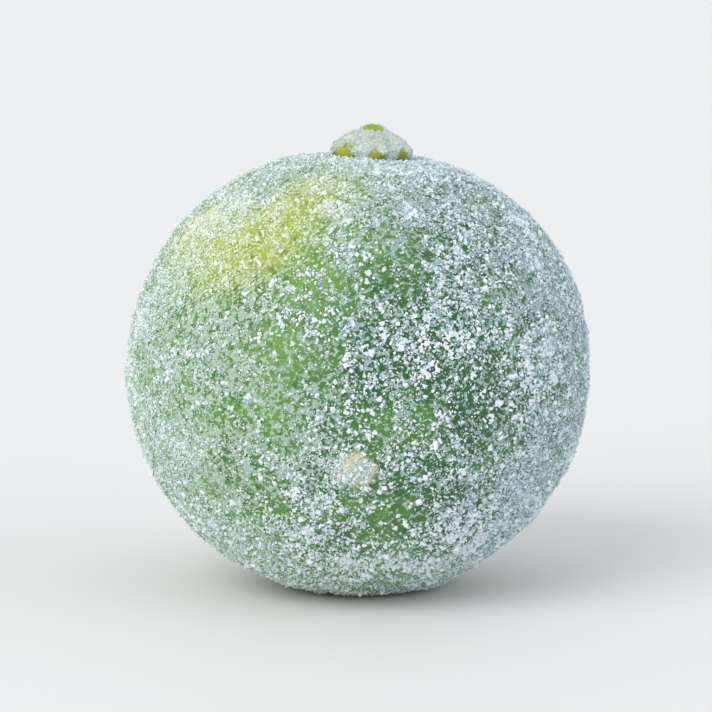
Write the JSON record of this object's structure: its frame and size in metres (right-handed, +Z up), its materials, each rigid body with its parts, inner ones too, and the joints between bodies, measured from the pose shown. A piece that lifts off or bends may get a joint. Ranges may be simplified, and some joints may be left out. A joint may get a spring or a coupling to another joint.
{
  "type": "calamansi",
  "caption": "Whole frozen calamansi, a small green citrus fruit under a coat of frost, resting on a small flat spot with its calyx button up.",
  "frame": {"origin": "middle of the small flat spot at the blossom end that the fruit rests on", "axes": "+Z up, through the fruit to its calyx button; -Y towards the side the picture shows; the stem end leans a little towards +X"},
  "size_m": [0.0359, 0.0359, 0.0361],
  "materials": {
    "frosted_peel": "green citrus peel with fine oil pits under grey-white frost",
    "frosted_calyx": "olive-green calyx and cut stalk under white frost"
  },
  "bodies": {
    "root": {"fruit": "frosted_peel", "calyx": "frosted_calyx"}
  },
  "joints": []
}
